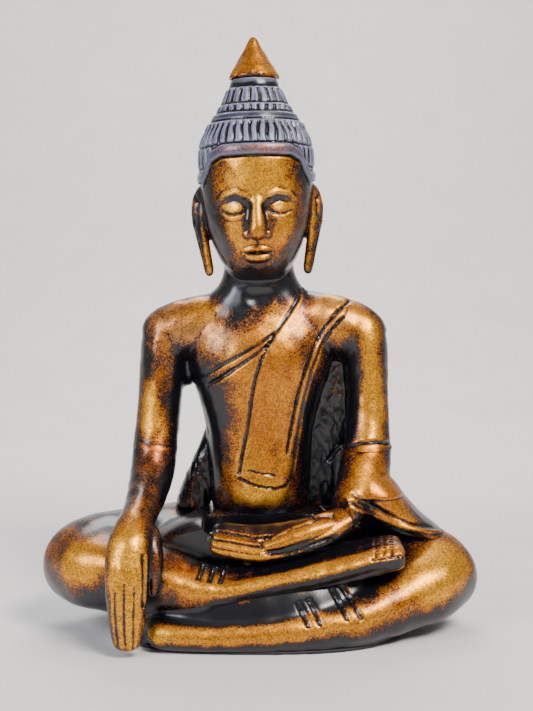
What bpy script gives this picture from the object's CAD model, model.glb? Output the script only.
import bmesh
import bpy
import math
import numpy as np
from mathutils import Matrix, Vector
from mathutils.bvhtree import BVHTree
from mathutils.kdtree import KDTree


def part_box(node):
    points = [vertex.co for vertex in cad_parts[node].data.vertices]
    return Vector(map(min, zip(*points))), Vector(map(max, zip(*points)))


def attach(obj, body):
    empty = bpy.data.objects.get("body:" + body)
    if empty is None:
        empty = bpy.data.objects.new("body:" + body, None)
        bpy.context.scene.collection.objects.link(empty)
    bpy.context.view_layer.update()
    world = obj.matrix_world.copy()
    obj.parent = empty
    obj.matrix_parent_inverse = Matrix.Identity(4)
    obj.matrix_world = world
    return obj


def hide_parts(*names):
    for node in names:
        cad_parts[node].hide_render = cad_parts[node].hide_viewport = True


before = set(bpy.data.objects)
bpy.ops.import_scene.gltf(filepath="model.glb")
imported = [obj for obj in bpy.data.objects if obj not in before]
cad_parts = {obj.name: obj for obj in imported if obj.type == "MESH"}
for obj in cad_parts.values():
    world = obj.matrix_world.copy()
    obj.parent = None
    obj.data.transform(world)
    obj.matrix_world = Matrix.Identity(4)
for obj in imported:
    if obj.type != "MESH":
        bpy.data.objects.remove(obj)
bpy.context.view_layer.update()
bpy.ops.object.select_all(action="DESELECT")

mm = 0.001  # the pieces are carved in millimetres and brought to metres when they are done


def cadMm(node):
    low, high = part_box(node)
    return [v / mm for v in low], [v / mm for v in high]


# The glue faces come from the CAD blocks
waistZ = cadMm("torso")[0][2]
neckZ = cadMm("torso")[1][2]
shoulderX = cadMm("torso")[1][0]
elbowZ = cadMm("right_upper_arm")[0][2]
feltTop = cadMm("base_felt")[1][2]
shinX = cadMm("right_shin_and_foot")[0][0]
shinBackY = cadMm("right_shin_and_foot")[1][1]
glueGap = 0.03  # lacquer has filled the glue lines, so they hardly show
headLean = math.radians(1.4)
smoothAngle = math.radians(40)

# Shaping tools


def only(*objs):
    bpy.ops.object.select_all(action="DESELECT")
    for o in objs:
        o.select_set(True)
    bpy.context.view_layer.objects.active = objs[0]


def useModifier(o, kind, **settings):
    only(o)
    mod = o.modifiers.new(kind, kind)
    for key, value in settings.items():
        setattr(mod, key, value)
    bpy.ops.object.modifier_apply(modifier=mod.name)


def ringMatrix(place, along, across, a, b):
    n = Vector(along).normalized()
    u = (Vector(across) - Vector(across).dot(n) * n).normalized()
    v = n.cross(u)
    return Matrix.Translation(place) @ Matrix((u * a, v * b, n)).transposed().to_4x4()


# A limb is a disc drawn out ring by ring. A ring is (x, y, z, a, b): a is its half width
# along `across` and b is square to it. square above 2 flattens the ring's four sides.
def limb(name, rings, across, square=2, sides=16, smooth=2):
    places = [Vector(r[:3]) for r in rings]
    last = len(rings) - 1
    frames = []
    for i, r in enumerate(rings):
        along = places[min(i + 1, last)] - places[max(i - 1, 0)]
        frames.append(ringMatrix(places[i], along, across, r[3], r[4]))
    bpy.ops.mesh.primitive_circle_add(vertices=sides, radius=1.02, fill_type="NGON")
    o = bpy.context.object
    o.name = name
    bpy.ops.object.mode_set(mode="EDIT")
    bm = bmesh.from_edit_mesh(o.data)
    for v in bm.verts:
        x, y = (math.copysign(abs(c) ** (2 / square), c) for c in v.co.xy)
        v.co = frames[0] @ Vector((x, y, 0))
    for before, after in zip(frames, frames[1:]):
        bpy.ops.mesh.extrude_region_move(TRANSFORM_OT_translate={"value": (0, 0, 0)})
        bm = bmesh.from_edit_mesh(o.data)
        turn = after @ before.inverted()
        for v in bm.verts:
            if v.select:
                v.co = turn @ v.co
        bmesh.update_edit_mesh(o.data)
    bpy.ops.mesh.select_all(action="SELECT")
    bpy.ops.mesh.normals_make_consistent(inside=False)
    bpy.ops.object.mode_set(mode="OBJECT")
    if smooth:
        useModifier(o, "SUBSURF", levels=smooth, render_levels=smooth)
    return o


# One block of wood out of many masses, with its inside corners eased
def oneBlock(name, masses, voxel, ease):
    only(*masses)
    if len(masses) > 1:
        bpy.ops.object.join()
    o = bpy.context.object
    o.name = name
    useModifier(o, "REMESH", mode="VOXEL", voxel_size=voxel)
    useModifier(o, "SMOOTH", factor=0.5, iterations=ease)
    return o


# Saws a block at a plane and keeps the side that keep points to, with the cut closed
def saw(o, place, keep):
    only(o)
    bpy.ops.object.mode_set(mode="EDIT")
    bpy.ops.mesh.select_all(action="SELECT")
    bpy.ops.mesh.bisect(plane_co=place, plane_no=keep, use_fill=True, clear_inner=True)
    bpy.ops.object.mode_set(mode="OBJECT")


def copyOf(o, name):
    only(o)
    bpy.ops.object.duplicate()
    c = bpy.context.object
    c.name = name
    return c


def boxCutter(low, high):
    middle = [(a + b) / 2 for a, b in zip(low, high)]
    bpy.ops.mesh.primitive_cube_add(size=1, location=middle)
    o = bpy.context.object
    o.scale = [b - a for a, b in zip(low, high)]
    bpy.ops.object.transform_apply(location=True, rotation=True, scale=True)
    return o


def cutWith(o, cutter, operation="DIFFERENCE", keepCutter=False):
    useModifier(o, "BOOLEAN", object=cutter, operation=operation, solver="MANIFOLD")
    if not keepCutter:
        bpy.data.objects.remove(cutter)


# Carving tools: they move a block's surface in and out along its own normals


def surface(o):
    n = len(o.data.vertices)
    co, normal = np.empty(n * 3), np.empty(n * 3)
    o.data.vertices.foreach_get("co", co)
    o.data.vertices.foreach_get("normal", normal)
    return co.reshape(-1, 3), normal.reshape(-1, 3)


def moveSurface(o, offset, direction=None):
    co, normal = surface(o)
    co += offset[:, None] * (normal if direction is None else direction)
    o.data.vertices.foreach_set("co", co.ravel())
    o.data.update()


def edgeList(o):
    edges = np.empty(len(o.data.edges) * 2, int)
    o.data.edges.foreach_get("vertices", edges)
    return edges.reshape(-1, 2)


def smoothed(co, edges, times):
    n = len(co)
    i, j = edges[:, 0], edges[:, 1]
    count = np.bincount(i, minlength=n) + np.bincount(j, minlength=n)
    out = co.copy()
    for _ in range(times):
        total = np.stack([np.bincount(i, out[j, k], n) + np.bincount(j, out[i, k], n) for k in range(out.shape[1])], 1)
        out = 0.3 * out + 0.7 * total / np.maximum(count, 1)[:, None]
    return out


# Melts the creases away round a point
def melt(o, place, size, times):
    co, _ = surface(o)
    near = np.clip(1.3 - np.linalg.norm((co - place) / size, axis=1), 0, 0.5)[:, None] * 2
    co += near * (smoothed(co, edgeList(o), times) - co)
    o.data.vertices.foreach_set("co", co.ravel())
    o.data.update()


# Points along a path, a step apart
def alongPath(path, step=0.5):
    path = np.array(path, float)
    length = np.r_[0, np.cumsum(np.linalg.norm(np.diff(path, axis=0), axis=1))]
    at = np.linspace(0, length[-1], max(2, int(length[-1] / step) + 1))
    return np.stack([np.interp(at, length, path[:, k]) for k in range(path.shape[1])], 1), at / length[-1]


views = {  # where a tool comes from, and the two axes that a path's points are given in
    "front": ((0, 1, 0), (0, 2)), "back": ((0, -1, 0), (0, 2)), "top": ((0, 0, -1), (0, 1)),
    "left": ((-1, 0, 0), (1, 2)), "right": ((1, 0, 0), (1, 2)),
}


# Lays a flat path on the block, as seen from one side
def laidOn(o, path, view):
    toward, axes = views[view]
    tree = BVHTree.FromObject(o, bpy.context.evaluated_depsgraph_get())
    points, share = alongPath(path)
    out, kept = [], []
    for p, t in zip(points, share):
        start = [-300 * c for c in toward]
        start[axes[0]], start[axes[1]] = p
        hit = tree.ray_cast(Vector(start), Vector(toward))[0]
        if hit is not None:
            out.append(hit)
            kept.append(t)
    return np.array(out), np.array(kept)


# How far each vertex is from a path on the surface, and how far along the path it lies
def reach(o, path, view, limit):
    line, share = laidOn(o, path, view)
    co, _ = surface(o)
    far, t = np.full(len(co), 1e9), np.zeros(len(co))
    near = np.all((co > line.min(0) - limit) & (co < line.max(0) + limit), axis=1).nonzero()[0]
    tree = KDTree(len(line))
    for i, p in enumerate(line):
        tree.insert(p, i)
    tree.balance()
    for i in near:
        _, j, d = tree.find(co[i])
        far[i], t[i] = d, share[j]
    return far, t


# A V cut or a raised roll along a path. A negative height cuts in. Its ends taper off.
def stroke(o, path, width, height, view="front", sharp=True, taper=0.12):
    far, t = reach(o, path, view, width)
    side = np.clip(1 - far / width, 0, 1)
    shape = side if sharp else side * side * (3 - 2 * side)
    ends = np.clip(np.minimum(t, 1 - t) / taper, 0, 1) if taper else 1
    moveSurface(o, height * shape * ends ** 0.6)


# A soft swelling or hollow round a point
def dab(o, place, size, height):
    co, _ = surface(o)
    d = np.linalg.norm((co - np.array(place)) / np.array(size), axis=1)
    side = np.clip(1 - d * d, 0, 1)
    moveSurface(o, height * side * side)


# Smooth wandering values from a few sine waves, for hand-made unevenness
def wander(co, size, seed):
    rng = np.random.default_rng(seed)
    total = np.zeros(len(co))
    for _ in range(7):
        k = rng.normal(size=3)
        k *= 2 * math.pi / size / np.linalg.norm(k) * rng.uniform(0.7, 1.6)
        total += np.sin(co @ k + rng.uniform(0, 6.28))
    return total / 3.5


# Leaves a surface a little uneven, as a hand tool does
def handWorked(o, depth, size, seed):
    co, _ = surface(o)
    moveSurface(o, depth * wander(co, size, seed))


# Facets as a gouge leaves them, inside a box
def gouge(o, low, high, size, depth, seed):
    co, _ = surface(o)
    rng = np.random.default_rng(seed)
    low, high = np.array(low, float), np.array(high, float)
    count = int(np.prod((high - low) / size) * 1.6) + 6
    long = np.array([1, 1, 0.4])  # the scoops run down the wood
    seeds = rng.uniform(low, high, (count, 3)) * long
    inside = np.all((co > low) & (co < high), axis=1).nonzero()[0]
    edge = np.minimum(co[inside] - low, high - co[inside]).min(1)
    tree = KDTree(count)
    for i, p in enumerate(seeds):
        tree.insert(p, i)
    tree.balance()
    offset = np.zeros(len(co))
    lean = rng.uniform(-1, 1, count)
    for i, e in zip(inside, edge):
        (_, a, d1), (_, b, d2) = tree.find_n(co[i] * long, 2)
        offset[i] = (min((d2 - d1) / size, 0.5) * -1.2 + 0.3 * lean[a]) * min(e / size, 1)
    moveSurface(o, depth * offset)


print("tools ready")

# Arms: each is carved through the elbow, so that its two pieces meet when they are sawn

rightArm = {
    "upper": [
        (-36, 13, 134, 4, 6), (-39.6, 12.4, 128, 9, 11.4), (-41.2, 12, 120, 10.4, 13.2), (-42, 11.6, 112, 10.2, 13),
        (-42.6, 10.6, 102, 9.8, 12.2), (-43.4, 9, 92, 9.5, 11.5),
    ],
    "elbow": [
        (-44.2, 6.6, 82, 9.5, 11), (-44.9, 3.8, 74, 9.7, 10.8), (-45.3, 0.2, 67, 9.6, 10.3),
        (-46, -6, 60.8, 9.2, 9.6),
    ],
    "lower": [
        (-47, -16, 55.8, 8.2, 8.4), (-48, -26, 52, 7.4, 7.2), (-48.6, -34, 49.8, 7.4, 6.4),
        (-49.6, -42, 47, 8.4, 6.4), (-50.8, -48.2, 41.5, 9, 6.8), (-51.4, -51.6, 33, 8.8, 6.4),
        (-51.2, -53.2, 24, 8.1, 5.6), (-51, -54.2, 14, 7.2, 4.8), (-50.9, -54.6, 6, 5.9, 3.8),
        (-50.8, -54.4, 2.6, 4.2, 2.6),
    ],
}
leftArm = {
    "upper": [
        (40, 13, 134, 4, 6), (43.8, 12.4, 128, 9, 11.4), (45.8, 12, 120, 10, 13.2), (46.4, 11.6, 112, 9.6, 13),
        (46.9, 10.6, 102, 9, 12.2), (47.2, 9, 92, 8.8, 11.5),
    ],
    "elbow": [
        (47.1, 6.4, 82, 9.2, 11), (46.6, 3.4, 74, 10, 11.4), (45.4, -1, 67, 10.8, 11.8), (43.6, -7, 61.6, 10.6, 11),
    ],
    "lower": [
        (41, -14, 57.2, 9.6, 9.4), (38, -20.6, 53.4, 8, 7.8), (34.4, -25.6, 50, 6.8, 6.4), (29.6, -29, 47.4, 6.2, 5.8),
    ],
}

sleeveTop = [(30.4, 65.6), (32.2, 68.8), (34.5, 71.5), (38.7, 74.7), (43, 76.5), (49.5, 77), (57, 75.4)]
elbowCrease = [(-57, 76), (-53, 77.4), (-49.6, 77.6), (-46, 76.8), (-40, 75.6), (-34, 74.6)]


# The sleeve stands proud of the arm, with a cut above it. It crosses the elbow joint.
def carveSleeve(o):
    clothLayer(o, sleeveTop + [(64, 70), (64, 56), (30, 56)], 0.8, "front", 0.5)
    stroke(o, [(x - 0.3, z + 0.9) for x, z in sleeveTop], 1.3, -1.1, taper=0.05)


def carveElbowCrease(o):
    stroke(o, elbowCrease, 0.9, -0.08, taper=0.2)
    stroke(o, [(x, z - 1.8) for x, z in elbowCrease], 2.2, 0.22, sharp=False, taper=0.3)


# Torso and upper arms, carved as one and then sawn at the shoulder glue faces

torsoSizes = {
    "body": [  # x, y, z, half width, half depth
        (0, 12, 38, 19, 17), (0, 12, 46, 20, 18.5), (0, 11.5, 52, 21, 20.6), (0, 11.5, 60, 21.4, 21),
        (0, 12, 70, 21.8, 20.5), (0, 12.5, 80, 22.6, 20), (0, 12.5, 92, 25.2, 20.6),
        (0, 12.5, 104, 29.5, 21.6), (0, 12.5, 114, 32.5, 21.8), (0, 13, 123, 34, 20),
        (0, 13.5, 130, 32, 17), (0, 13, 134.6, 29, 15.8), (0, 12.6, 138.6, 23.4, 15), (0, 12.3, 142, 19, 14.4),
        (0, 12, 146, 16.6, 14.2), (0, 11.4, 151, 15, 14), (0, 11, 158, 14.6, 14),
    ],
    "shoulders": [  # from the right shoulder to the left
        (-48.4, 11.8, 117, 6.5, 7), (-45, 11.8, 119.4, 11.6, 10.8), (-38, 12, 122.8, 13.6, 13),
        (-24, 12.5, 126.3, 13.8, 14), (0, 13, 128, 14.5, 14.5), (25, 12.5, 126.8, 13.8, 14),
        (40, 12, 123.6, 13.8, 13), (48.6, 11.8, 119.8, 11.4, 10.8), (52.6, 11.8, 117, 6.5, 7),
    ],
    "leftWeb": [  # waste wood left standing between the body and the left arm
        (30, 17, 40, 13, 8), (28, 17, 55, 11, 8.5), (29, 17, 70, 11, 7), (31, 16.5, 90, 10, 6.5),
        (33, 16, 108, 9, 6.5), (34, 16, 122, 8, 6),
    ],
    "rightWeb": [(-32, 15, 99, 2.2, 4), (-32, 14.5, 104, 5, 6), (-34, 14, 112, 8, 7), (-36, 14, 120, 8, 7)],
    "buttress": [
        (-31, 15, 40, 7, 10), (-29, 15, 50, 7.5, 9.5), (-25.5, 15, 60, 6.5, 8), (-22, 15, 70, 5, 7),
        (-20, 15, 82, 3, 5), (-18, 15, 88, 2, 3),
    ],
    "robeEdge": [(17.5, 138.5), (12, 131), (7.2, 124.2), (2.6, 121), (-5.8, 116), (-14.3, 111.2), (-23, 105.5)],
    "robeFold": [(6.5, 122.5), (3, 118.4), (-3.7, 113.4), (-13, 106.9), (-22.5, 100.6)],
    "sashLeft": [
        (7.2, 124.2), (2.2, 115.9), (-1.2, 106.2), (-3.3, 95.7), (-5, 82.8), (-7.2, 72.2), (-8.6, 63.5),
    ],
    "sashEnd": [(-9.2, 62.6), (-3.8, 60.2), (1.3, 58.8), (7.2, 57.9), (11.6, 58.9), (14.2, 62.6)],
    "sashHem": [(-5, 66.2), (1.3, 64.4), (7.2, 63.6)],
    "sashRight": [
        (39, 137), (33.7, 133), (28, 126), (23.7, 118), (19.9, 108.2), (16.9, 97.7), (14.8, 87.1),
        (12.7, 76.4), (11.9, 72),
    ],
    "sashBack": [
        (36.5, 131), (31, 125), (26.7, 118), (22.8, 108.1), (19.5, 95.5), (17.8, 84.8), (15.7, 72), (14.4, 62.6),
    ],
    "backEdge": [(18, 139), (10, 128), (-2, 117), (-14, 108), (-25, 99)],
    "backSash": [(26, 136), (22, 118), (19, 98), (17.5, 78), (17, 62)],
    "backSashLeft": [(9, 127), (6, 112), (4, 92), (3, 74), (2.5, 62), (17, 60)],
    "armWood": [  # boxes of wood that belong to the arm blocks: low and high corner
        ((-90, -60, 58), (-shoulderX, 60, 160)), ((-90, -60, 30), (-37.1, 60, 58.5)), ((25, -60, 30), (90, -3, 70)),
    ],
}


# A layer of cloth standing proud of what is under it, inside an outline seen from one side
def clothLayer(o, outline, height, view, edge=0.5):
    axes = views[view][1]
    co, normal = surface(o)
    toward = np.array(views[view][0], float)
    p = co[:, axes]
    poly = np.array(outline, float)
    inside = np.zeros(len(p), bool)
    far = np.full(len(p), 1e9)
    for a, b in zip(poly, np.roll(poly, -1, axis=0)):
        crosses = (a[1] > p[:, 1]) != (b[1] > p[:, 1])
        span = b[1] - a[1] if b[1] != a[1] else 1e-9
        inside ^= crosses & (p[:, 0] < (b[0] - a[0]) * (p[:, 1] - a[1]) / span + a[0])
        t = np.clip(((p - a) @ (b - a)) / max((b - a) @ (b - a), 1e-9), 0, 1)
        far = np.minimum(far, np.linalg.norm(p - a - t[:, None] * (b - a), axis=1))
    inward = np.where(inside, far, -far)
    share = np.clip(0.5 + inward / (2 * edge), 0, 1)
    seen = np.clip(-(normal @ toward) * 4, 0, 1)
    moveSurface(o, height * share * seen)


def makeTorso():
    s = torsoSizes
    masses = [limb("body", s["body"], (1, 0, 0), square=2.25)]
    masses.append(limb("shoulders", s["shoulders"], (0, 0, 1)))
    masses += [limb("arm", arm["upper"] + arm["elbow"] + arm["lower"][:2], (1, 0, 0)) for arm in (rightArm, leftArm)]
    masses += [limb(k, s[k], (1, 0, 0), square=3) for k in ("leftWeb", "rightWeb", "buttress")]
    o = oneBlock("upper_body", masses, 0.55, 34)
    # collar bones, breast and the hollow of the throat
    dab(o, (0, -9, 112), (26, 12, 14), 0.7)
    dab(o, (0, 0, 139), (8, 9, 6), -1.6)
    dab(o, (0, -9, 54), (15, 9, 9), 1.1)
    # the robe is a layer over the skin, and the sash is a layer over the robe
    robe = s["robeEdge"] + [(-30, 100), (-30, 40), (60, 40), (60, 150), (17.5, 150)]
    clothLayer(o, robe, 0.55, "front", 0.6)
    clothLayer(o, s["backEdge"] + [(-30, 94), (-30, 40), (60, 40), (60, 150), (18, 150)], 0.6, "back", 0.6)
    sash = [(17.5, 150), (17.5, 138.5), (12, 131)] + s["sashLeft"] + s["sashEnd"] + s["sashBack"][::-1] + [(42, 150)]
    clothLayer(o, sash, 0.6, "front", 0.7)
    clothLayer(o, s["backSashLeft"] + s["backSash"][::-1], 0.7, "back", 0.7)
    stroke(o, s["robeEdge"], 1.25, -1.15)
    stroke(o, s["robeFold"], 1.25, -1.25)
    stroke(o, s["sashLeft"], 1.15, -1.2, taper=0.03)
    stroke(o, s["sashEnd"], 0.9, -0.8, taper=0.05)
    stroke(o, s["sashHem"], 0.8, -0.65)
    stroke(o, s["sashRight"], 1.2, -1.2, taper=0.05)
    stroke(o, s["sashBack"], 1.2, -1.3, taper=0.05)
    for path in (s["backEdge"], s["backSash"], s["backSashLeft"]):
        stroke(o, path, 1.1, -1.0, view="back", taper=0.04)
    carveSleeve(o)
    carveElbowCrease(o)
    # rough gouge work where no brush or rasp reached
    gouge(o, (-40, 2, 40), (-19, 28, 84), 3.6, 0.55, 3)
    gouge(o, (18, 3, 40), (40, 26, 118), 3.8, 0.55, 4)
    gouge(o, (-40, 4, 96), (-25, 24, 116), 3.4, 0.35, 5)
    handWorked(o, 0.12, 9, 11)
    return o


def sawTorso(whole):
    torso = copyOf(whole, "torso_carved")
    saw(torso, (shoulderX, 0, 0), (-1, 0, 0))
    saw(torso, (0, 0, waistZ), (0, 0, 1))
    saw(torso, (0, 0, neckZ), (0, 0, -1))
    right, left = copyOf(whole, "right_upper_arm_carved"), copyOf(whole, "left_upper_arm_carved")
    for low, high in torsoSizes["armWood"]:
        cutWith(torso, boxCutter(low, high))
    for arm, side in ((right, -1), (left, 1)):
        saw(arm, (side * (shoulderX + glueGap), 0, 0), (side, 0, 0))
        saw(arm, (0, 0, elbowZ), (0, 0, 1))
    bpy.data.objects.remove(whole)
    return torso, right, left


# Forearms and hands

rightForearmSizes = {
    "thumb": [
        (-43.5, -37, 48, 3.5, 4.2), (-41.8, -43, 43.5, 4, 4.4), (-40.6, -46.5, 37, 3.6, 4.2),
        (-40.2, -47.6, 30, 3, 3.8), (-40.8, -48, 24.5, 2.4, 3), (-41.4, -48.2, 22, 1.4, 2),
    ],
    "fingers": [
        [(-55.2, 29), (-55.3, 20), (-54.6, 9), (-53.6, 3)], [(-51.4, 32), (-51.6, 20), (-51.3, 9), (-51, 3)],
        [(-47.4, 30), (-47.7, 20), (-48, 9), (-48.3, 3)],
    ],
    "thumbGap": [(-44.4, 41), (-43.9, 34), (-43.8, 26), (-44.2, 20)],
}


def makeRightForearm():
    s = rightForearmSizes
    rings = rightArm["upper"][3:] + rightArm["elbow"] + rightArm["lower"]
    masses = [limb("arm", rings, (1, 0, 0)), limb("thumb", s["thumb"], (1, 0, 0))]
    o = oneBlock("right_forearm_and_hand_carved", masses, 0.5, 14)
    carveElbowCrease(o)
    stroke(o, s["thumbGap"], 1.5, -1.7, taper=0.1)
    for path in s["fingers"]:
        stroke(o, path, 1.0, -0.6, taper=0.25)
    for x in (-57.2, -53.4, -49.5, -45.7):  # knuckles
        dab(o, (x, -58, 36), (2.6, 4, 4.5), 0.45)
    dab(o, (-50, -52, 46), (9, 8, 6), 0.6)
    gouge(o, (-57, -62, 24), (-46, -50, 38), 1.6, 0.15, 8)
    handWorked(o, 0.1, 8, 12)
    return o


leftForearmSizes = {
    "web": [(37, 14, 34, 9, 8), (37, 14.5, 46, 9, 7.5), (37.5, 14.5, 62, 8, 7), (38, 14, 80, 7, 7)],
    "drape": [
        (36, -6, 59, 14, 9), (44, -5, 58, 18, 11.5), (50, -4, 54, 19.5, 11), (56, -3.5, 48.6, 19.5, 9),
        (63, -4, 43.6, 18.5, 6.8), (70, -5, 39.8, 16, 5), (77, -7, 36.6, 11.5, 3.4), (82.5, -8, 34.6, 5, 1.8),
    ],
    "hem": [(36.5, 55.4), (40, 52.8), (45.7, 49.8), (52, 47), (58.5, 44.6), (68, 42.4), (78.8, 39.6)],
    "foldUpper": [(38, 60), (44, 54.5), (52, 50.2), (62, 46.4), (73, 42.6)],
}


def makeLeftForearm():
    s = leftForearmSizes
    rings = leftArm["upper"][3:] + leftArm["elbow"] + leftArm["lower"]
    masses = [limb("arm", rings, (1, 0, 0)), limb("drape", s["drape"], (0, 1, 0)), limb("web", s["web"], (1, 0, 0))]
    o = oneBlock("left_forearm_and_sleeve_carved", masses, 0.55, 34)
    carveSleeve(o)
    stroke(o, s["foldUpper"], 2.2, -0.9, sharp=False)
    stroke(o, s["hem"], 1.5, 0.9, sharp=False, taper=0.1)
    gouge(o, (26, -34, 40), (50, 22, 54), 2.4, 0.4, 6)
    handWorked(o, 0.12, 9, 13)
    return o


leftHandSizes = {
    "palm": [
        (42, -21, 50, 5.8, 5.4), (36, -25, 48, 6.2, 5.2), (30, -27.4, 46, 7.4, 4.8), (22, -28.8, 43, 9, 4.4),
        (12, -29.2, 40.4, 10, 4), (1, -29.4, 38.8, 10.2, 3.8), (-8, -29.4, 39.6, 9.8, 3.6),
        (-15, -29, 41, 9.2, 3.3), (-18, -29, 41.6, 8.4, 2.9), (-19.4, -29, 41.8, 6.8, 2.3),
    ],
    "thumb": [
        (34, -28.6, 47.4, 2.6, 2.2), (28, -30.6, 47.4, 4.2, 3), (20, -32.6, 45.2, 4.7, 3.3),
        (11, -34.4, 42.2, 4, 3), (4.5, -35.6, 39.8, 2.8, 2.2), (1, -36, 39, 1.4, 1.1),
    ],
    "fingers": [  # in the front view, as the back of the hand leans to the viewer
        [(-21, 45), (-12, 43.8), (-2, 42.2), (5, 42.4)], [(-21, 42.4), (-12, 41.2), (-2, 39.6), (3, 39.4)],
        [(-21, 39.8), (-12, 38.4), (-4, 37.2), (1, 36.8)],
    ],
    "thumbEdge": [(31, 50.8), (25, 50.2), (13, 46.4), (5, 42.6), (0, 40.4)],
    "thumbUnder": [(30, 42.6), (20, 40), (11, 37.8), (2, 37)],
    "wrist": (34, -25.5, waistZ + 0.5), "toHand": (-0.8, -0.6, 0),
}


def makeLeftHand():
    s = leftHandSizes
    lean = (0, 0.85, 0.52)
    masses = [limb("palm", s["palm"], lean, square=2.6), limb("thumb", s["thumb"], lean)]
    o = oneBlock("left_hand_carved", masses, 0.4, 5)
    for path in s["fingers"]:
        stroke(o, path, 0.95, -0.95, taper=0.08)
    stroke(o, s["thumbEdge"], 1.6, -1.5, taper=0.08)
    stroke(o, s["thumbUnder"], 1.6, -1.1, taper=0.1)
    handWorked(o, 0.08, 7, 14)
    return o


# Seat: hips, thighs, knees and the lower leg

rightShin = {  # the knee end is in the seat block, the foot end is its own piece, and both have the middle
    "knee": [(-80, -16, 27, 12, 12), (-74, -18, 27, 15.4, 15.4), (-66, -21.6, 26.8, 16, 16.2)],
    "middle": [
        (-56, -27, 26.8, 14.8, 15.2), (-46, -32, 26, 12.8, 13.8), (-36, -35, 25, 10.8, 12.8),
        (-26, -36.4, 23, 8.4, 12), (-14, -37, 22.2, 7, 11.6),
    ],
    "foot": [
        (0, -36.8, 24.4, 5.9, 11.6), (16, -36, 27.6, 5.8, 11.8), (30, -35, 30.8, 5.8, 11.8),
        (42, -34, 33.8, 5.7, 11.4), (52, -33.4, 36, 5.4, 10.6), (57, -33, 36.8, 4.8, 9.4), (58.8, -33, 37, 3.4, 7),
    ],
    "across": (0, -0.26, 0.966), "square": 3,
}

seatSizes = {
    "base": [  # a squared block with a slightly rounded foot
        (0, -4, -8, 62.5, 47), (0, -4, 1, 63, 47.5), (0, -3, 8, 63, 46.5), (0, -1, 17, 62, 42.5),
        (0, 4, 28, 55, 36), (0, 9, 37, 41, 28), (0, 12, 45, 27, 21), (0, 12, 52, 23, 19),
    ],
    "rightThigh": [
        (-14, 31, 28, 17, 17), (-24, 25, 26.5, 20, 20.5), (-38, 14, 27, 20.6, 21), (-56, 0.5, 27, 20.6, 20.8),
        (-69, -9, 27, 20.4, 20.6), (-79, -14.8, 27, 18, 18.2), (-86.4, -18, 27, 12, 11), (-90.4, -19.6, 27, 5, 5),
    ],
    "leftThigh": [
        (14, 31, 28, 17, 17), (24, 25, 26, 20, 20.5), (38, 14, 25.5, 20.2, 21), (56, 1.5, 24, 20, 20.2),
        (70, -8, 22.6, 19.6, 19.2), (80, -14, 22, 17.6, 17), (87.4, -17.6, 22, 12, 11), (91.6, -19.4, 22, 5, 5),
    ],
    "leftShin": [
        (82, -15, 21.6, 11, 11), (77, -17, 21.2, 14.8, 15), (68, -21, 19.6, 15.6, 16), (56, -27.8, 16.2, 13.4, 15.6),
        (40, -36.4, 12.2, 10, 14), (24, -41, 9.8, 8.2, 12), (8, -43.4, 8, 7.4, 10.6),
        (-8, -44.2, 7, 6.8, 9.8), (-24, -44.4, 6.4, 6, 9.2), (-36, -44.8, 7, 6.6, 8.4),
        (-42, -44.8, 7, 5.4, 6), (-44.5, -44.8, 7, 3, 3.4),
    ],
    "knees": [(-72, -26, 27), (76, -26, 21)],
    "lap": ((-22, -70, waistZ - 9), (45, -9.5, 90)),  # low and high corner of what is cut away
    "shinFloor": 15.5, "shinSlope": 8.5,  # height at the knee end, and degrees up to the foot
    "hemLines": [  # robe hems across the lower shin, and the ankle
        [(15.2, 20), (17.4, 15.6), (20, 10.8)], [(19.4, 21), (22, 16.6), (24.6, 11.6)],
        [(29, 24), (32, 19), (35.4, 13)], [(33, 25), (37, 19.4), (41, 13)],
    ],
}


def makeSeat():
    s = seatSizes
    masses = [limb("base", s["base"], (1, 0, 0), square=2.6, sides=24)]
    masses += [limb(k, s[k], (0, 0, 1)) for k in ("rightThigh", "leftThigh")]
    shin = rightShin
    masses.append(limb("rightShin", shin["knee"] + shin["middle"], shin["across"], square=shin["square"]))
    masses.append(limb("leftShin", s["leftShin"], (0, -0.3, 0.95), square=2.5))
    only(*masses)
    bpy.ops.object.join()
    o = bpy.context.object
    useModifier(o, "REMESH", mode="VOXEL", voxel_size=0.9)
    cutWith(o, boxCutter(*s["lap"]))
    o = oneBlock("seat_block_carved", [o], 0.75, 36)
    for knee in s["knees"]:  # each is one smooth round
        melt(o, knee, (22, 24, 24), 120)
        dab(o, knee, (26, 26, 26), 0.9)
    dab(o, (-2, 44, 40), (9, 10, 30), -2.2)  # the cleft of the seat behind
    for path in s["hemLines"]:
        stroke(o, path, 1.25, -1.25, taper=0.1)
    gouge(o, (-34, -12, 36), (-14, 30, 52), 3.6, 0.5, 9)
    gouge(o, (16, -12, 36), (40, 30, 52), 3.6, 0.5, 10)
    handWorked(o, 0.16, 13, 15)
    return o


# The room cut into the seat for the upper shin, drawn back by gap
def shinSpace(gap):
    o = boxCutter((shinX - glueGap + gap, -90, 10), (60, shinBackY + glueGap - gap, 90))
    only(o)
    bpy.ops.object.mode_set(mode="EDIT")
    floor = (shinX - glueGap, 0, seatSizes["shinFloor"] + gap)
    slope = math.radians(seatSizes["shinSlope"])
    bpy.ops.mesh.select_all(action="SELECT")
    tilted = (-math.sin(slope), 0, math.cos(slope))
    bpy.ops.mesh.bisect(plane_co=floor, plane_no=tilted, use_fill=True, clear_inner=True)
    bpy.ops.object.mode_set(mode="OBJECT")
    return o


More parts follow.
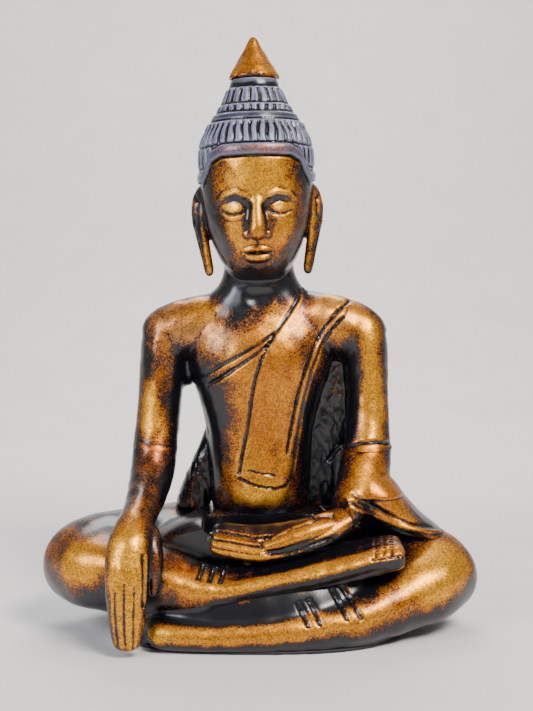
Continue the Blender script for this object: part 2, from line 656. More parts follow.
upperShinSizes = {
    "ridge": [(-14, 25), (1.4, 28), (16, 31), (28.3, 33.8), (42, 37), (50, 38.8), (57, 39.6)],
    "undercut": [(-14, 17), (0, 19.6), (16, 23), (30, 26), (44, 29.6), (56, 32)],
    "hems": [
        [(-19.4, 36), (-21.6, 32.6), (-24, 28)], [(-15.2, 35.4), (-17.4, 31.6), (-19.8, 27)],
        [(-11.4, 34.6), (-13.4, 31), (-15.4, 26.6)],
    ],
    "toes": [
        [(47.4, 42.6), (46.8, 40), (46.6, 36.4)], [(50.6, 43), (50, 40.2), (49.8, 36.8)],
        [(53.8, 43.2), (53.2, 40.4), (53, 37)], [(44, 36), (50, 36.6), (57, 37.2)],
    ],
}


def makeUpperShin():
    s = upperShinSizes
    rings = rightShin["middle"] + rightShin["foot"]
    # the sole is turned up and forward, so the section leans down to the front
    shin = limb("shin", rings, rightShin["across"], square=rightShin["square"])
    o = oneBlock("right_shin_and_foot_carved", [shin], 0.5, 8)
    stroke(o, s["ridge"], 5.5, 1.1, taper=0.15)
    stroke(o, s["undercut"], 6, -1.6, sharp=False, taper=0.15)
    for path in s["hems"]:
        stroke(o, path, 1.5, -1.5, taper=0.1)
    for path in s["toes"]:
        stroke(o, path, 0.85, -0.9, taper=0.1)
    dab(o, (28, -33, 39), (15, 7, 5), -0.7)
    handWorked(o, 0.12, 9, 16)
    return o


# Head: carved upright, then leant over about the neck joint

headY = 8
finialZ = 231
headSizes = {
    "skull": [
        (0, -3, 146.2, 6, 6), (0, -2, 148.6, 10.6, 11), (0, 0.4, 153.6, 15.2, 16), (0, 3.5, 161, 19, 19.8),
        (0, 5.8, 170, 21.8, 22.6), (0, 7.2, 180, 23.2, 24.4), (0, 8, 190, 24.2, 25.4), (0, 8, 198, 24.6, 25.6),
        (0, 8, 204, 24, 25), (0, 8, 209, 21.8, 22.6), (0, 8, 212.4, 18.6, 19), (0, 8, 215, 13, 13),
    ],
    "neck": [
        (0, 13, 130, 32, 16), (0, 12.6, 138.6, 23.4, 15), (0, 12.3, 142, 19, 14.4), (0, 12, 146, 16.6, 14.2),
        (0, 11.4, 151, 15, 14), (0, 11, 158, 14.6, 14), (0, 10, 166, 14.4, 14.6),
    ],
    "nose": [
        (0, -14.6, 182.5, 3, 2), (0, -15.6, 178, 2.7, 2.7), (0, -16.8, 172, 3, 3.4),
        (0, -18, 167, 3.8, 3.9), (0, -17.8, 164.2, 3.8, 3.4), (0, -16.6, 162.4, 2.4, 2),
    ],
    "ear": [
        (21.8, 7, 187, 1.6, 1.2), (24, 8, 184.6, 4, 2.1), (25.4, 8.6, 179.6, 5.6, 2.3), (25.4, 8.2, 172.6, 5.2, 2.3),
        (24, 7, 165, 3.9, 2.2), (22.3, 6, 157, 3.1, 2.1), (21.3, 5.4, 151, 2.8, 2.1), (21, 5.2, 147.8, 2, 1.4),
    ],
    "earCuts": [  # in the side views: path, width, depth
        ([(9, 183), (5.6, 180), (5.4, 174), (7.6, 170.4), (9.6, 174), (9.4, 179)], 1.6, -1.3),
        ([(6.6, 167), (5.4, 160), (4.8, 151.5)], 0.8, -0.8),
    ],
    "topknot": [
        (210, 21), (211.9, 20.1), (212.3, 18.3), (212.9, 18), (213.3, 18.9), (215.8, 17.8), (216.1, 15.9),
        (216.5, 15.7), (216.9, 16.4), (219.5, 15.4), (219.8, 14), (220.2, 13.8), (220.6, 14.4), (226.6, 11.9),
        (227.1, 11), (228.4, 10.4), (229.4, 10.2), (231, 9.6),
    ],
    "ribs": [(202.4, 212, 42), (216.7, 219.6, 28), (220.4, 226.8, 22)],  # from, to, how many round
    "backRows": (193.2, 184, 174.8, 165.6),
    "scalpTop": 213, "bandTop": 5.3,
    "hairCuts": {  # how far each stands out or is cut in
        "step": 0.35, "band": 0.75, "underBand": 0.9, "overBand": 0.7, "rib": 0.75, "row": 0.7, "capFoot": 0.8,
    },
    "hairLine": [  # degrees round from the front, height
        (0, 197.2), (34, 197), (46, 195), (56, 189.5), (66, 186), (88, 187), (104, 180), (122, 164), (180, 158),
    ],
}


def makeFace(o):
    dab(o, (0, -15, 189), (14, 8, 9), 0.4)
    for side in (-1, 1):
        def mirrored(path):
            return [(side * x, z) for x, z in path]

        dab(o, (side * 9, -16, 177), (8.4, 9, 5.4), -0.9)  # eye socket
        dab(o, (side * 4.6, -17, 175.6), (3.2, 6, 5.4), -1.3)
        dab(o, (side * 9.6, -15, 175.2), (7.4, 9, 4.6), 0.8)  # the ball under the lid
        stroke(o, mirrored([(1.8, 177), (3.8, 180), (8.4, 182.2), (13.4, 181.4), (17.4, 177.6)]), 2, 0.65,
               sharp=False, taper=0.3)
        stroke(o, mirrored([(4.8, 174.9), (7, 173.6), (9.8, 173), (12.4, 173.5), (15, 175)]), 0.95, -0.95, taper=0.2)
        stroke(o, mirrored([(5.4, 177.2), (9.6, 179), (14, 177.4)]), 1.1, -0.3, sharp=False, taper=0.4)
        stroke(o, mirrored([(6, 172.3), (9.8, 171.3), (13.4, 172.2)]), 1.4, 0.3, sharp=False, taper=0.3)
        dab(o, (side * 12, -12, 165.6), (9, 9, 10), 0.9)  # cheek
        dab(o, (side * 4.4, -16.4, 164.6), (2.3, 3.4, 2.4), 1.5)  # wing of the nose
        dab(o, (side * 2, -20.4, 162.5), (1.2, 2, 1), -0.8)
        dab(o, (side * 7.8, -14.6, 157.4), (1.9, 3, 1.9), -0.55)
    stroke(o, [(0, 162.4), (0, 160)], 1.3, -0.35, sharp=False, taper=0.3)
    stroke(o, [(-7, 157.4), (-3.4, 158.7), (-1.2, 159.1), (0, 158.7), (1.2, 159.1), (3.4, 158.7), (7, 157.4)],
           1.8, 1.05, sharp=False, taper=0.35)
    stroke(o, [(-5.6, 156.2), (-2.8, 155.1), (0, 154.8), (2.8, 155.1), (5.6, 156.2)], 2.2, 1.35, sharp=False, taper=0.4)
    stroke(o, [(-7.4, 157.9), (-3.8, 157.1), (-1.2, 157.1), (0, 156.8), (1.2, 157.1), (3.8, 157.1), (7.4, 157.9)],
           0.75, -0.75, taper=0.2)
    dab(o, (0, -17, 152.2), (6, 5, 1.6), -0.4)
    dab(o, (0, -14.5, 148.8), (7, 7, 4), 1)


# The hair is a ribbed cap over the skin, with a smooth band along its edge
def makeHair(o):
    s, cut = headSizes, headSizes["hairCuts"]
    co, _ = surface(o)
    x, y, z = co[:, 0], co[:, 1] - headY, co[:, 2]
    off, heading = np.hypot(x, y), np.arctan2(x, -y)
    aside = np.degrees(np.abs(heading))
    up = z - np.interp(aside, *np.array(s["hairLine"]).T)  # height over the hair line
    ear = (np.abs(x) > 22.4) & (z < 187.5) & (aside < 112)
    scalp = np.where((off > 15) & (z < s["scalpTop"]) & ~ear, 1, 0)
    jitter = wander(co, 16, 21)

    def groove(distance, width):
        return np.clip(1 - np.abs(distance) / width, 0, 1)

    def ribs(count):
        turn = (heading / (2 * math.pi) * count + 0.16 * jitter) % 1
        gap = np.abs(turn - 0.5) * 2 * math.pi * off / count
        return cut["rib"] * np.clip(1.25 - gap / 0.85, 0, 1)

    offset = cut["step"] * np.clip(up / 0.8 + 0.5, 0, 1) * scalp
    offset += cut["band"] * np.clip(1 - ((up - 2.6) / 2.3) ** 2, 0, 1) ** 0.5 * scalp
    offset -= cut["underBand"] * groove(up + 0.3, 0.7) * scalp
    offset -= cut["overBand"] * groove(up - s["bandTop"], 0.6) * scalp
    for low, high, count in s["ribs"]:
        inside = np.clip((z - low) / 0.5, 0, 1) * np.clip((high - z) / 0.5, 0, 1)
        offset -= ribs(count) * inside * np.where(up > 5.4, 1, 0)
    for row in s["backRows"]:
        offset -= cut["row"] * groove(z - row + 0.4 * jitter, 0.8) * np.clip((up - 5) / 1.5, 0, 1) * scalp
    capFoot = s["ribs"][0][0]
    offset -= ribs(s["ribs"][0][2]) * np.clip((up - 5.4) / 0.8, 0, 1) * scalp * np.where(z < capFoot, 1, 0)
    offset -= cut["capFoot"] * groove(z - capFoot + 0.2 + 0.3 * jitter, 0.8) * np.clip(up - 5, 0, 1) * scalp
    moveSurface(o, offset)
    hair = (np.clip(up - 4.2, 0, 1) + 0.55 * np.clip(up + 0.5, 0, 1)) * scalp
    hair = np.where(z > s["scalpTop"], 1, hair)
    o.data.attributes.new("hair", "FLOAT", "POINT").data.foreach_set("value", np.clip(hair, 0, 1))


def makeHead():
    s = headSizes
    masses = [limb("skull", s["skull"], (1, 0, 0), sides=24), limb("neck", s["neck"], (1, 0, 0))]
    masses.append(limb("nose", s["nose"], (1, 0, 0)))
    for side in (-1, 1):
        rings = [(side * x, y, z, a, b) for x, y, z, a, b in s["ear"]]
        masses.append(limb("ear", rings, (side * 0.5, 0.87, 0)))
    o = oneBlock("head_carved", masses, 0.46, 5)
    knot = limb("topknot", [(0, headY, z, r, r) for z, r in s["topknot"]], (1, 0, 0), sides=72, smooth=0)
    o = oneBlock("head_carved", [o, knot], 0.46, 1)
    makeFace(o)
    for view in ("left", "right"):
        for path, width, depth in s["earCuts"]:
            stroke(o, path, width, depth, view=view, taper=0.1)
    makeHair(o)
    handWorked(o, 0.07, 8, 17)
    toNeck = Matrix.Translation((0, 0, neckZ))
    turn = toNeck @ Matrix.Rotation(-headLean, 4, "Y") @ toNeck.inverted()
    o.data.transform(turn)
    return o, turn


finialSizes = {"profile": [
    (231.1, 10.4), (231.5, 10.8), (232.6, 10.7), (235, 9.5), (238.4, 7.4), (242, 5.1), (245.4, 3.3), (248, 2.1),
    (249.2, 1.2), (249.6, 0.4)]}


def makeFinial(turn):
    rings = [(0, headY, z, r, r) for z, r in finialSizes["profile"]]
    o = oneBlock("finial_carved", [limb("finial", rings, (1, 0, 0), sides=40, smooth=1)], 0.34, 3)
    co, _ = surface(o)
    low = np.clip((236 - co[:, 2]) / 4, 0, 1)
    moveSurface(o, 0.12 * wander(co, 7, 31) + 0.25 * low * wander(co, 5, 32) - 0.15)
    o.data.transform(turn)
    return o


feltSizes = {"edge": 0.35, "sole": 0.06, "fuzz": 0.12}


def makeFelt():
    low, high = cadMm("base_felt")
    x, y = (low[0] + high[0]) / 2, (low[1] + high[1]) / 2
    a, b = (high[0] - low[0]) / 2, (high[1] - low[1]) / 2
    e, sole = feltSizes["edge"], feltSizes["sole"]
    rings = [
        (x, y, sole, a - e, b - e), (x, y, e, a, b), (x, y, feltTop - e, a, b), (x, y, feltTop - 0.02, a - e, b - e),
    ]
    o = limb("base_felt_sheet", rings, (1, 0, 0), square=2.6, sides=96, smooth=1)
    co, _ = surface(o)
    move = np.zeros(len(co))
    edge = np.abs(co[:, 2] - feltTop / 2) < feltTop / 2 - 0.1
    move[edge] = feltSizes["fuzz"] * wander(co[edge], 3, 41)
    moveSurface(o, move)
    return o


# The gilder's work: where powder lies and where bare lacquer is left

sprayFront = Vector((0.04, -0.87, 0.49)).normalized()
sprayBack = Vector((0, 0.87, 0.49)).normalized()


def openness(points, normals, tree, rays=40, limit=45):
    rng = np.random.default_rng(5)
    u, v = rng.random(rays), rng.random(rays)
    r, a = np.sqrt(u), 2 * math.pi * v
    local = np.stack([r * np.cos(a), r * np.sin(a), np.sqrt(1 - u)], 1)
    out = np.zeros(len(points))
    for k, (p, n) in enumerate(zip(points, normals)):
        n = Vector(n)
        side = n.orthogonal().normalized()
        m = np.array(Matrix((side, n.cross(side), n)).transposed())
        start = Vector(p) + n * 0.5
        free = 0
        for d in local @ m.T:
            hit = tree.ray_cast(start, Vector(d), limit)
            free += 1 if hit[0] is None else 0.5 * hit[3] / limit
        out[k] = free / rays
    return out


def paintPieces(pieces, inPlace):
    only(*inPlace.values())
    bpy.ops.object.join()
    whole = bpy.context.object
    useModifier(whole, "DECIMATE", ratio=0.12)
    tree = BVHTree.FromObject(whole, bpy.context.evaluated_depsgraph_get())
    bpy.data.objects.remove(whole)
    rng = np.random.default_rng(7)
    for o in pieces:
        co, normal = surface(o)
        edges = edgeList(o)
        fine = ((co - smoothed(co, edges, 5)) * normal).sum(1)
        broad = ((co - smoothed(co, edges, 40)) * normal).sum(1)
        softNormal = smoothed(normal, edges, 3)
        pick = rng.choice(len(co), min(len(co), 3200), replace=False)
        openHere = openness(co[pick], normal[pick], tree)
        kd = KDTree(len(pick))
        for i, p in enumerate(co[pick]):
            kd.insert(p, i)
        kd.balance()
        air = np.zeros(len(co))
        for i, p in enumerate(co):
            near = kd.find_n(p, 4)
            w = [1 / (d + 0.4) * max(0.05, normal[i] @ normal[pick[j]]) for _, j, d in near]
            air[i] = sum(a * openHere[j] for a, (_, j, _) in zip(w, near)) / sum(w)
        air = smoothed(air[:, None], edges, 6)[:, 0]
        facing = np.maximum(softNormal @ np.array(sprayFront), 0.9 * softNormal @ np.array(sprayBack))
        paintPowder(o, air, facing, fine, broad)


def rise(x, low, high):
    t = np.clip((x - low) / (high - low), 0, 1)
    return t * t * (3 - 2 * t)


# Where on each block more or less powder lies, and how copper or pale it is:
# centre, size, powder, copper, pale
powderDabs = {
    "upper_body": [
        ((-22, -8, 122), (18, 16, 11), 0.15, 0, 0.7),
        ((-40, 4, 124), (14, 16, 14), 0.15, 0.2, 0.45),
        ((26, 0, 130), (18, 16, 10), 0.2, 0.5, 0.35),
        ((-8, -6, 132), (18, 14, 12), -0.5, 0, 0),
        ((4, -9, 94), (14, 12, 42), 0.4, 0.6, 0),
        ((-22, -4, 84), (10, 14, 24), -0.3, 0, 0),
        ((5, -9, 55), (16, 14, 8), 0.5, -0.8, 0),
        ((0, 2, 45), (30, 20, 6), -0.9, 0, 0),
        ((0, 0, 143), (26, 24, 10), -0.8, 0, 0),
        ((-28, 14, 68), (12, 14, 36), -0.8, 0, 0),
        ((29, 14, 78), (11, 14, 50), -0.8, 0, 0),
        ((-43, -2, 102), (14, 16, 20), -0.25, 0, 0),
        ((-50, -2, 92), (8, 14, 13), 0.6, -0.9, 0),
        ((-48, -6, 74), (14, 14, 9), -0.3, 0.5, 0),
        ((50, -2, 104), (9, 16, 36), 0.3, -0.3, 0),
        ((40, -4, 98), (5, 16, 34), -0.6, 0, 0),
    ],
    "head_carved": [
        ((0, 12, 144), (26, 22, 9), -0.9, 0, 0),
        ((0, -12, 186), (24, 22, 16), 0.6, -0.4, 0),
        ((0, -12, 160), (22, 18, 16), 0.55, 0.1, 0),
        ((-9, -17, 179), (7, 8, 2.2), -0.25, 0, 0),
        ((9, -17, 179), (7, 8, 2.2), -0.25, 0, 0),
        ((-15, -8, 168), (10, 16, 20), 0.6, -0.2, 0),
        ((15, -8, 168), (10, 16, 20), 0.6, 0.2, 0),
        ((-5.4, -16, 171), (2.6, 6, 9), -0.7, 0, 0),
        ((5.4, -16, 171), (2.6, 6, 9), -0.7, 0, 0),
        ((0, -19, 160.8), (7, 6, 2), -0.8, 0, 0),
    ],
    "right_forearm_and_hand_carved": [
        ((-51, -56, 30), (9, 14, 30), 0.45, -0.8, 0),
        ((-48, -6, 74), (14, 14, 9), -0.3, 0.5, 0),
        ((-40, -46, 34), (4, 10, 14), -0.4, 0.9, 0),
        ((-46, -12, 60), (14, 18, 14), -0.4, 0.2, 0),
    ],
    "left_forearm_and_sleeve_carved": [
        ((50, -14, 58), (18, 16, 16), 0.4, 0.3, 0),
        ((37, 14, 60), (8, 10, 30), -0.8, 0, 0),
        ((36, -14, 62), (8, 14, 14), -0.3, 0, 0),
    ],
    "right_shin_and_foot_carved": [
        ((-18, -48, 27), (12, 10, 6), 0.3, 0, 0),
    ],
    "seat_block_carved": [
        ((0, -20, 46), (46, 30, 10), -0.8, 0, 0),
        ((-58, -14, 46), (22, 18, 8), -0.35, 0, 0),
        ((-34, -46, 22), (12, 14, 10), -0.5, 0, 0),
        ((-4, -55, 10), (50, 6, 4), 0.5, 0.1, 0),
        ((14, -40, 19), (56, 12, 5), -0.5, 0, 0),
        ((0, -52, 2), (90, 20, 5), -0.5, 0.2, 0),
        ((-70, -28, 12), (26, 26, 7), -0.4, 0.2, 0),
        ((70, -30, 8), (26, 26, 6), -0.4, 0.2, 0),
        ((74, -30, 28), (20, 16, 16), 0.45, -0.8, 0),
        ((-76, -34, 30), (18, 16, 10), 0.45, -0.1, 0),
    ],
}


# The same along a path: view, path, width, powder, copper
powderLines = {
    "right_shin_and_foot_carved": [
        ("top", [(-22, -31), (0, -31), (30, -30), (56, -28)], 10, -0.42, 0.2),
        ("front", upperShinSizes["undercut"], 8, -1, 0),
        ("front", upperShinSizes["ridge"], 3.6, 0.85, 0.1),
    ],
    "seat_block_carved": [
        ("front", [(-54, 18), (-40, 16.5), (-22, 16.5)], 6, -0.6, 0),
        ("front", [(-46, 15), (-22, 14), (0, 15), (14, 18), (30, 22)], 6, -0.8, 0),
        ("front", [(-40, 6), (-20, 6), (0, 7), (16, 8)], 3.4, 0.45, 0),
    ],
    "left_hand_carved": [
        ("top", [(-18, -23), (-6, -23), (8, -23), (22, -20)], 10, -0.8, 0),
        ("front", [(-16, 39.6), (-8, 38), (2, 36.6)], 3, 0.6, -0.1),
        ("front", [(28, 47), (20, 45), (11, 42), (3, 39.6)], 4, 0.7, 0.3),
        ("front", leftHandSizes["thumbUnder"], 3, -0.6, 0),
    ],
}


powderShares = {  # how much each thing adds to or takes from the powder, from 0 to 1
    "least": 0.04, "lit": 0.84, "ridge": 0.25, "crease": 0.8, "broad": 0.2, "drift": 0.2, "patch": 0.1,
    "hair": 0.85, "finial": 0.92, "finialFoot": 0.4, "copper": 0.36, "copperDrift": 0.28,
}


def paintPowder(o, air, facing, fine, broad):
    s = powderShares
    co, _ = surface(o)
    lit = rise(facing, 0.38, 1.08) * rise(air, 0.2, 0.85)
    crease = np.clip(-fine / 0.1, 0, 1)
    ridge = np.clip(fine / 0.12, 0, 1)
    powder = s["least"] + s["lit"] * lit + s["ridge"] * ridge - s["crease"] * crease
    powder += s["broad"] * np.clip(broad / 0.6, -2, 1)
    powder += s["drift"] * wander(co, 30, 51) + s["patch"] * wander(co, 11, 52)
    copper = s["copper"] + s["copperDrift"] * wander(co, 34, 53)
    pale = np.zeros(len(co))
    for centre, size, more, red, light in powderDabs.get(o.name, []):
        near = rise(1.2 - np.linalg.norm((co - centre) / size, axis=1), 0, 0.9)
        powder += more * near * (rise(facing, 0.15, 0.85) if more > 0 else 1)
        copper += red * near
        pale += light * near
    for view, path, width, more, red in powderLines.get(o.name, []):
        near = rise(1.1 - reach(o, path, view, width)[0] / width, 0, 0.8)
        powder += more * near
        copper += red * near
    rub = np.zeros(len(co))
    if o.name == "head_carved":
        hair = np.empty(len(co))
        o.data.attributes["hair"].data.foreach_get("value", hair)
        powder *= 1 - s["hair"] * hair
        rub = hair * (0.1 + 0.8 * ridge + 0.4 * np.clip(broad / 0.5, 0, 1) - 0.9 * crease) * rise(air, 0.2, 0.7)
    if o.name == "finial_carved":
        powder = s["finial"] - s["finialFoot"] * rise(-co[:, 2], -finialZ - 3, -finialZ)
        powder += s["patch"] * wander(co, 12, 54)
        copper = 0.55 + 0.4 * wander(co, 16, 55)
    for name, value in (("powder", powder), ("copper", copper), ("pale", pale), ("rub", rub)):
        o.data.attributes.new(name, "FLOAT", "POINT").data.foreach_set("value", np.clip(value, 0, 1))
    print("painted", o.name, "mean powder", round(float(np.clip(powder, 0, 1).mean()), 2))


# Materials


def linear(hexColour):
    out = []
    for i in (1, 3, 5):
        c = int(hexColour[i:i + 2], 16) / 255
        out.append(c / 12.92 if c <= 0.04045 else ((c + 0.055) / 1.055) ** 2.4)
    return (*out, 1)


# Adds a node. An input is given by name or number, as a socket to link or as a value.
def addNode(tree, kind, inputs, **settings):
    n = tree.nodes.new(kind)
    for key, value in settings.items():
        setattr(n, key, value)
    for key, value in inputs.items():
        if isinstance(value, bpy.types.NodeSocket):
            tree.links.new(value, n.inputs[key])
        else:
            n.inputs[key].default_value = value
    return n


def newMaterial(name):
    m = bpy.data.materials.new(name)
    m.use_nodes = True
    tree = m.node_tree
    tree.nodes.clear()
    shader = tree.nodes.new("ShaderNodeBsdfPrincipled")
    out = tree.nodes.new("ShaderNodeOutputMaterial")
    tree.links.new(shader.outputs[0], out.inputs[0])
    return m, tree, shader


def setRamp(node, stops):
    ramp = node.color_ramp
    while len(ramp.elements) < len(stops):
        ramp.elements.new(0.5)
    for e, (at, colour) in zip(ramp.elements, stops):
        e.position = at
        e.color = linear(colour)


giltColours = {
    "lacquer": "#09090F", "underLacquer": "#3C1405", "rub": "#8284A0", "palePowder": "#B8804E",
    "gold": [(0, "#7A4210"), (0.4, "#A6590A"), (0.7, "#D28009"), (1, "#F2A820")],
    "copper": [(0, "#6E320C"), (0.4, "#8E440A"), (0.7, "#B25C10"), (1, "#CE7C1C")],
    "patch": 7 * mm, "grain": 0.5 * mm,  # real powder is finer, this is coarsened so that it shows at arm's length
}


# Bronze powder blown over black lacquer: the eye gets metal grains on the raised parts,
# thinning through brown to bare, wet-looking black in the cuts
def giltLacquer():
    m, t, shader = newMaterial("bronze_powder_on_black_lacquer")
    g = giltColours
    place = addNode(t, "ShaderNodeTexCoord", {}).outputs["Object"]
    value = {k: addNode(t, "ShaderNodeAttribute", {}, attribute_name=k).outputs["Fac"]
             for k in ("powder", "copper", "pale", "rub")}
    cells = addNode(t, "ShaderNodeTexVoronoi", {"Vector": place, "Scale": 1 / g["grain"]})
    chance = addNode(t, "ShaderNodeSeparateColor", {0: cells.outputs["Color"]}).outputs[0]
    grain = addNode(t, "ShaderNodeTexNoise", {
        "Vector": place, "Scale": 1 / g["grain"], "Detail": 2.5, "Roughness": 0.7})
    patch = addNode(t, "ShaderNodeTexNoise", {"Vector": place, "Scale": 1 / g["patch"], "Detail": 4, "Roughness": 0.6})
    patchy = addNode(t, "ShaderNodeMapRange", {
        "Value": patch.outputs["Fac"], "From Min": 0.3, "From Max": 0.7, "To Min": -0.11, "To Max": 0.11})
    thick = addNode(t, "ShaderNodeMath", {0: value["powder"], 1: patchy.outputs[0]}, operation="ADD", use_clamp=True)
    limit = addNode(t, "ShaderNodeMapRange", {
        "Value": thick.outputs[0], "From Min": 0.05, "From Max": 0.9, "To Min": -0.15, "To Max": 0.95})
    over = addNode(t, "ShaderNodeMath", {0: limit.outputs[0], 1: chance}, operation="SUBTRACT")
    cover = addNode(t, "ShaderNodeMapRange", {"Value": over.outputs[0], "From Min": -0.12, "From Max": 0.12})
    gold = addNode(t, "ShaderNodeValToRGB", {0: thick.outputs[0]})
    setRamp(gold, g["gold"])
    copper = addNode(t, "ShaderNodeValToRGB", {0: thick.outputs[0]})
    setRamp(copper, g["copper"])
    powder = addNode(t, "ShaderNodeMix", {"Factor": value["copper"], 6: gold.outputs[0], 7: copper.outputs[0]},
                     data_type="RGBA")
    powder = addNode(t, "ShaderNodeMix", {"Factor": value["pale"], 6: powder.outputs[2], 7: linear(g["palePowder"])},
                     data_type="RGBA")
    # no two grains lie at one angle, so each is a little darker or lighter than the next
    tone = addNode(t, "ShaderNodeMapRange", {
        "Value": addNode(t, "ShaderNodeSeparateColor", {0: cells.outputs["Color"]}).outputs[1],
        "To Min": 0.4, "To Max": 1.15})
    powder = addNode(t, "ShaderNodeMix", {"Factor": 1.0, 6: powder.outputs[2], 7: tone.outputs[0]},
                     data_type="RGBA", blend_type="MULTIPLY")
    soak = addNode(t, "ShaderNodeMapRange", {"Value": thick.outputs[0], "From Min": 0.3, "From Max": 0.95})
    under = addNode(t, "ShaderNodeMix", {
        "Factor": soak.outputs[0], 6: linear(g["lacquer"]), 7: linear(g["underLacquer"])}, data_type="RGBA")
    gilt = addNode(t, "ShaderNodeMix", {"Factor": cover.outputs[0], 6: under.outputs[2], 7: powder.outputs[2]},
                   data_type="RGBA")
    dry = addNode(t, "ShaderNodeMath", {0: value["rub"], 1: grain.outputs["Fac"]}, operation="MULTIPLY")
    rubbed = addNode(t, "ShaderNodeMapRange", {"Value": dry.outputs[0], "From Min": 0.08, "From Max": 0.6})
    colour = addNode(t, "ShaderNodeMix", {"Factor": rubbed.outputs[0], 6: gilt.outputs[2], 7: linear(g["rub"])},
                     data_type="RGBA")
    metal = addNode(t, "ShaderNodeMath", {0: cover.outputs[0], 1: 0.85}, operation="MULTIPLY")
    rough = addNode(t, "ShaderNodeMapRange", {"Value": cover.outputs[0], "To Min": 0.27, "To Max": 0.4})
    rougher = addNode(t, "ShaderNodeMath", {0: rubbed.outputs[0], 1: 0.2}, operation="MULTIPLY")
    rough = addNode(t, "ShaderNodeMath", {0: rough.outputs[0], 1: rougher.outputs[0]}, operation="ADD")
    bump = addNode(t, "ShaderNodeBump", {"Height": grain.outputs["Fac"], "Strength": 0.35, "Distance": 0.12 * mm})
    bump.inputs["Filter Width"].default_value = 0.5
    t.links.new(colour.outputs[2], shader.inputs["Base Color"])
    t.links.new(metal.outputs[0], shader.inputs["Metallic"])
    t.links.new(rough.outputs[0], shader.inputs["Roughness"])
    t.links.new(bump.outputs[0], shader.inputs["Normal"])
    shader.inputs["Coat Weight"].default_value = 0.18
    shader.inputs["Coat Roughness"].default_value = 0.22
    return m


# Planed hardwood: fine straight grain that catches the light a little along its length
def dowelWood():
    m, t, shader = newMaterial("turned_hardwood_dowel")
    place = addNode(t, "ShaderNodeTexCoord", {}).outputs["Object"]
    stretched = addNode(t, "ShaderNodeMapping", {"Vector": place, "Scale": (1, 0.12, 0.12)})
    grain = addNode(t, "ShaderNodeTexNoise", {
        "Vector": stretched.outputs[0], "Scale": 1 / (0.8 * mm), "Detail": 5, "Roughness": 0.6})
    ramp = addNode(t, "ShaderNodeValToRGB", {0: grain.outputs["Fac"]})
    setRamp(ramp, [(0.3, "#8A6238"), (0.7, "#C79E66")])
    bump = addNode(t, "ShaderNodeBump", {"Height": grain.outputs["Fac"], "Strength": 0.3, "Distance": 0.1 * mm})
    t.links.new(ramp.outputs[0], shader.inputs["Base Color"])
    t.links.new(bump.outputs[0], shader.inputs["Normal"])
    shader.inputs["Roughness"].default_value = 0.6
    return m


# Pressed wool felt, cut with shears: matt black with short stray fibres
def feltCloth():
    m, t, shader = newMaterial("pressed_wool_felt")
    place = addNode(t, "ShaderNodeTexCoord", {}).outputs["Object"]
    fibre = addNode(t, "ShaderNodeTexNoise", {
        "Vector": place, "Scale": 1 / (0.5 * mm), "Detail": 6, "Roughness": 0.75, "Distortion": 1.5})
    ramp = addNode(t, "ShaderNodeValToRGB", {0: fibre.outputs["Fac"]})
    setRamp(ramp, [(0.35, "#111012"), (0.7, "#2A282B")])
    bump = addNode(t, "ShaderNodeBump", {"Height": fibre.outputs["Fac"], "Strength": 0.8, "Distance": 0.25 * mm})
    t.links.new(ramp.outputs[0], shader.inputs["Base Color"])
    t.links.new(bump.outputs[0], shader.inputs["Normal"])
    shader.inputs["Roughness"].default_value = 0.95
    shader.inputs["Sheen Weight"].default_value = 0.3
    return m


# Seamless painted board, so nothing but the figure holds the eye
def studioBoard():
    m, t, shader = newMaterial("matt_painted_board")
    place = addNode(t, "ShaderNodeTexCoord", {}).outputs["Object"]
    noise = addNode(t, "ShaderNodeTexNoise", {"Vector": place, "Scale": 1 / (60 * mm), "Detail": 3})
    ramp = addNode(t, "ShaderNodeValToRGB", {0: noise.outputs["Fac"]})
    setRamp(ramp, [(0.3, "#D6D4D1"), (0.7, "#DBD9D6")])
    t.links.new(ramp.outputs[0], shader.inputs["Base Color"])
    shader.inputs["Roughness"].default_value = 0.85
    return m


# Assembly: the blocks are carved and finished whole, then sawn at their glue faces

upperBody = makeTorso()
print("torso and upper arms carved")
seat = makeSeat()
print("seat carved")
upperShin = makeUpperShin()
rightForearm = makeRightForearm()
leftForearm = makeLeftForearm()
leftHand = makeLeftHand()
print("limbs carved")
head, headTurn = makeHead()
finial = makeFinial(headTurn)
print("head carved")
felt = makeFelt()


def sawBlocks(upperBody, seat, upperShin, rightForearm, leftForearm, leftHand, head, finial):
    torso, rightUpper, leftUpper = sawTorso(upperBody)
    saw(seat, (0, 0, feltTop), (0, 0, 1))
    saw(seat, (0, 0, waistZ - glueGap), (0, 0, -1))
    cutWith(seat, shinSpace(0))
    cutWith(upperShin, shinSpace(glueGap), operation="INTERSECT")
    for o in (rightForearm, leftForearm):
        saw(o, (0, 0, elbowZ - glueGap), (0, 0, -1))
    wrist, toHand = Vector(leftHandSizes["wrist"]), Vector(leftHandSizes["toHand"])
    saw(leftForearm, wrist, -toHand)
    saw(leftHand, wrist + toHand * glueGap, toHand)
    cutWith(leftForearm, boxCutter((0, 2, 20), (shoulderX + glueGap, 60, 90)))
    cutWith(leftForearm, seat, keepCutter=True)
    saw(head, (0, 0, neckZ + glueGap), (0, 0, 1))
    upright = headTurn.to_3x3() @ Vector((0, 0, 1))
    saw(head, headTurn @ Vector((0, headY, finialZ)), -upright)
    saw(finial, headTurn @ Vector((0, headY, finialZ + glueGap)), upright)
    return {
        "seat_block": seat, "right_shin_and_foot": upperShin, "torso": torso, "right_upper_arm": rightUpper,
        "right_forearm_and_hand": rightForearm, "left_upper_arm": leftUpper, "left_forearm_and_sleeve": leftForearm,
        "left_hand": leftHand, "head": head, "finial": finial,
    }


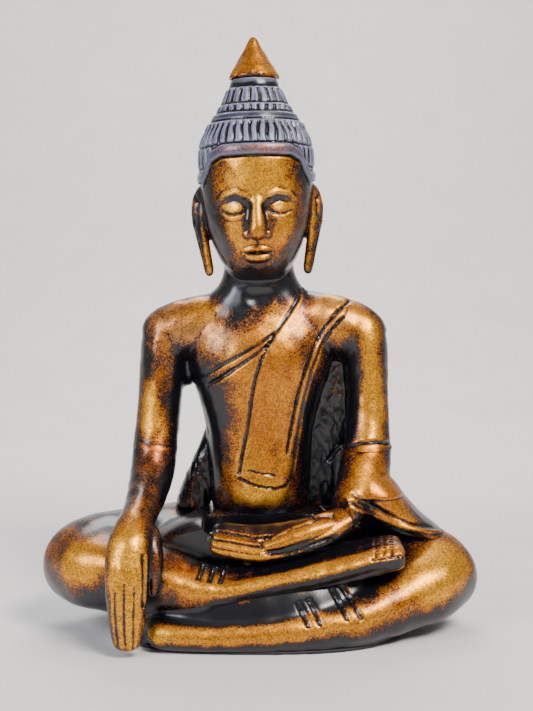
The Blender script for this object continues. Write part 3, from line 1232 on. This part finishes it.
# The blocks are painted whole, so that the finish runs unbroken over every glue line
blocks = [upperBody, seat, upperShin, rightForearm, leftForearm, leftHand, head, finial]
paintPieces(blocks, sawBlocks(*[copyOf(o, "copy") for o in blocks]))
carved = sawBlocks(*blocks)
print("blocks sawn")

gilt, wood, feltMaterial = giltLacquer(), dowelWood(), feltCloth()
for node, o in carved.items():
    o.data.materials.clear()
    o.data.materials.append(gilt)
    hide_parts(node)
felt.data.materials.append(feltMaterial)
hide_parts("base_felt")
for o in [*carved.values(), felt]:
    only(o)
    bpy.ops.object.shade_smooth_by_angle(angle=smoothAngle)
    o.data.transform(Matrix.Scale(mm, 4))
    o.data.update()
    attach(o, "root")
    print(o.name, sum(len(p.vertices) - 2 for p in o.data.polygons), "triangles")
for name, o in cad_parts.items():
    if "dowel" in name or "pin" in name:
        o.material_slots[0].material = wood
print("pieces finished")

# Studio

bpy.ops.mesh.primitive_plane_add(size=4, location=(0, 0, 0))
floor = bpy.context.object
floor.name = "studio_floor"
bpy.ops.object.mode_set(mode="EDIT")
bm = bmesh.from_edit_mesh(floor.data)
for e in bm.edges:
    e.select = all(v.co.y > 1 for v in e.verts)
bmesh.update_edit_mesh(floor.data)
bpy.ops.mesh.extrude_region_move(TRANSFORM_OT_translate={"value": (0, 0, 2.5)})
bpy.ops.mesh.select_all(action="SELECT")
bpy.ops.mesh.normals_make_consistent(inside=False)
bpy.ops.object.mode_set(mode="OBJECT")
floor.location.y = -0.6
bpy.ops.object.transform_apply(location=True, rotation=True, scale=True)
useModifier(floor, "BEVEL", width=0.8, segments=24)
bpy.ops.object.shade_smooth()
floor.data.materials.append(studioBoard())


def softLight(name, place, aim, size, power, colour):
    bpy.ops.object.light_add(type="AREA", location=place)
    o = bpy.context.object
    o.name = name
    o.data.shape = "RECTANGLE"
    o.data.size, o.data.size_y = size
    o.data.energy = power
    o.data.color = colour
    o.rotation_euler = (Vector(aim) - Vector(place)).to_track_quat("-Z", "Y").to_euler()


softLight("key", (0.36, -0.5, 0.7), (0, 0, 0.12), (0.3, 0.3), 11, (1, 0.97, 0.93))
softLight("fill", (-0.55, -0.5, 0.45), (0, 0, 0.12), (0.35, 0.35), 6, (0.84, 0.87, 1))
softLight("rim", (0, 0.45, 0.7), (0, 0.05, 0.15), (0.5, 0.25), 4, (1, 1, 1))
softLight("backdrop", (0, 0.5, 0.9), (0, 1.4, 0.3), (1.2, 0.4), 16, (1, 1, 1))
world = bpy.data.worlds.new("pale_studio")
bpy.context.scene.world = world
world.use_nodes = True
world.node_tree.nodes["Background"].inputs[0].default_value = (0.8, 0.82, 0.85, 1)
world.node_tree.nodes["Background"].inputs[1].default_value = 0.2

bpy.ops.object.camera_add(location=(0.0032, -0.505, 0.15), rotation=(math.radians(90 - 4.1), 0, 0))
camera = bpy.context.object
camera.data.lens = 60
camera.data.sensor_width = 36
bpy.context.scene.camera = camera
